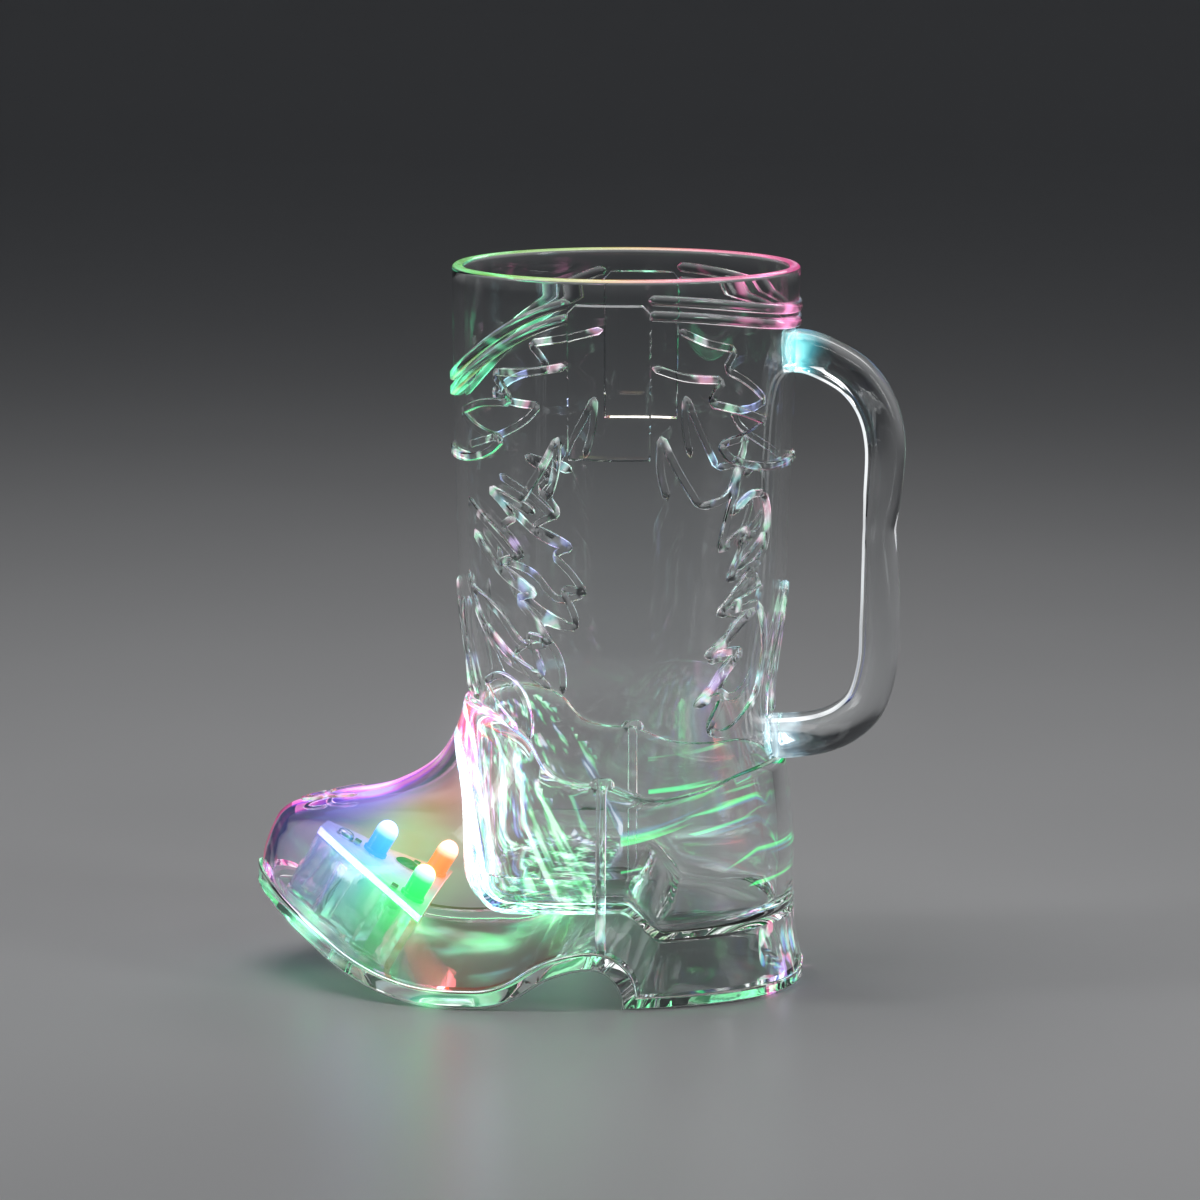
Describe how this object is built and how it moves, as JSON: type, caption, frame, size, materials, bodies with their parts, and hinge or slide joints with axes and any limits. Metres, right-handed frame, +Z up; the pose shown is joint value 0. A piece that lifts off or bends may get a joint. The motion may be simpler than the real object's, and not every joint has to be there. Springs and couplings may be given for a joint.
{
  "type": "boot-shaped cup",
  "caption": "Clear moulded drinking cup in the shape of a western boot, with a side handle, raised stitch work and a battery lamp module in its hollow toe, worked by a button under the sole.",
  "frame": {"origin": "under the middle of the overall length, on the ground plane that the heel and the ball of the sole stand on, on the boot's plane of symmetry", "axes": "+Z up along the shaft, -X towards the toe, +X towards the handle, +Y to the boot's far side"},
  "size_m": [0.1512, 0.0862, 0.166],
  "materials": {
    "clear_shell": "colourless clear, high gloss",
    "clear_handle": "colourless clear, high gloss",
    "clear_base": "colourless clear, high gloss",
    "frosted_tray": "frosted clear",
    "frosted_door": "frosted clear",
    "board": "white solder mask",
    "lamp_blue": "lit lamp dome",
    "lamp_green": "lit lamp dome",
    "lamp_red": "lit lamp dome",
    "black_component": "matt moulded",
    "screw_steel": "zinc plated",
    "cell_steel": "nickel plated",
    "contact_steel": "nickel plated spring strip",
    "white_button": "satin moulded"
  },
  "bodies": {
    "cup": {"boot_body": "clear_shell", "handle": "clear_handle", "base_plate": "clear_base", "led_tray": "frosted_tray", "circuit_board": "board", "led_blue": "lamp_blue", "led_green": "lamp_green", "led_red": "lamp_red", "resistor_blue": "black_component", "resistor_green": "black_component", "resistor_red": "black_component", "control_chip": "black_component", "board_screw_front": "screw_steel", "board_screw_rear": "screw_steel", "button_cell_1": "cell_steel", "button_cell_2": "cell_steel", "button_cell_3": "cell_steel", "contact_negative": "contact_steel", "contact_positive": "contact_steel", "switch_body": "black_component"},
    "button": {"push_button": "white_button", "switch_plunger": "white_button"},
    "door": {"battery_door": "frosted_door", "door_screw": "screw_steel"}
  },
  "joints": [
    {"name": "button_press", "type": "slide", "parent": "cup", "child": "button", "axis": [0.5, 0, 0.866], "range_m": [0, 0.0008], "stiffness_N_per_m": 800, "springref_m": -0.0005},
    {"name": "door_lift", "type": "slide", "parent": "cup", "child": "door", "axis": [-0.5, 0, -0.866], "range_m": [0, 0.004]}
  ]
}
